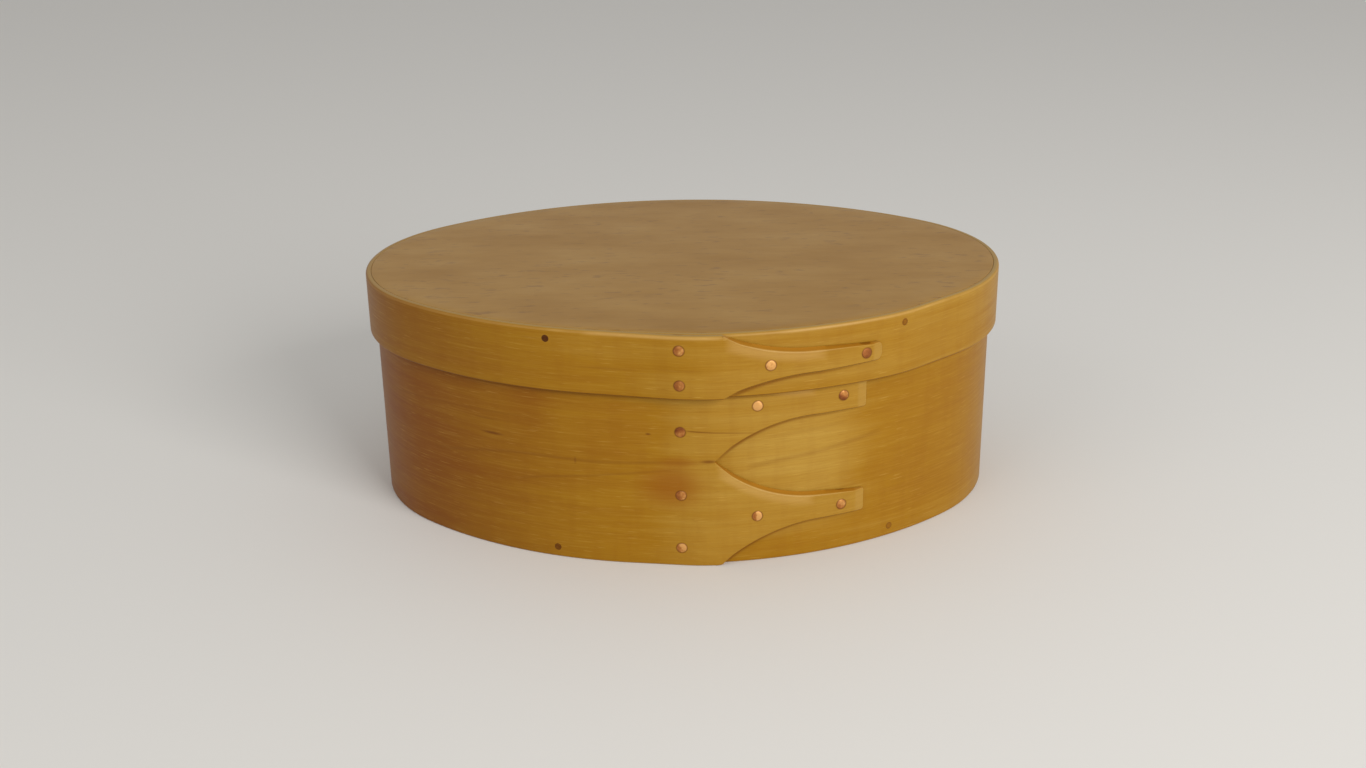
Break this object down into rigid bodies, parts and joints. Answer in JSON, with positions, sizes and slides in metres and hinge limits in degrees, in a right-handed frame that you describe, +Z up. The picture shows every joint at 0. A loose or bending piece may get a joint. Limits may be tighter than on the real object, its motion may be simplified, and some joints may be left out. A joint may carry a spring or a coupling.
{
  "type": "lapped oval wooden box",
  "caption": "Oval box of bent wood with a lift-off lid, its strips lapped with swallowtail fingers and held by clinched tacks, its boards held by wooden pegs.",
  "frame": {"origin": "middle of the underside, on the surface that the box stands on", "axes": "+X along the length of the oval, +Y from the lapped front to the back, +Z up through the lid"},
  "size_m": [0.203, 0.1534, 0.0733],
  "materials": {
    "band_maple": "satin varnish over straight-grained, honey-coloured maple",
    "board_wood": "dull thin finish over tan-brown wood with short dark flecks",
    "copper": null,
    "peg_wood": "dark end grain, cut flush"
  },
  "bodies": {
    "box": {"box_band": "band_maple", "base_board": "board_wood", "box_tack_1": "copper", "box_tack_2": "copper", "box_tack_3": "copper", "box_tack_4": "copper", "box_tack_5": "copper", "box_tack_6": "copper", "box_tack_7": "copper", "box_tack_8": "copper", "box_peg_1": "peg_wood", "box_peg_2": "peg_wood", "box_peg_3": "peg_wood", "box_peg_4": "peg_wood", "box_peg_5": "peg_wood"},
    "lid": {"lid_band": "band_maple", "lid_board": "board_wood", "lid_tack_1": "copper", "lid_tack_2": "copper", "lid_tack_3": "copper", "lid_tack_4": "copper", "lid_peg_1": "peg_wood", "lid_peg_2": "peg_wood", "lid_peg_3": "peg_wood", "lid_peg_4": "peg_wood", "lid_peg_5": "peg_wood"}
  },
  "joints": [
    {"name": "lid_lift", "type": "slide", "parent": "box", "child": "lid", "axis": [0, 0, 1], "range_m": [0, 0.1]}
  ]
}
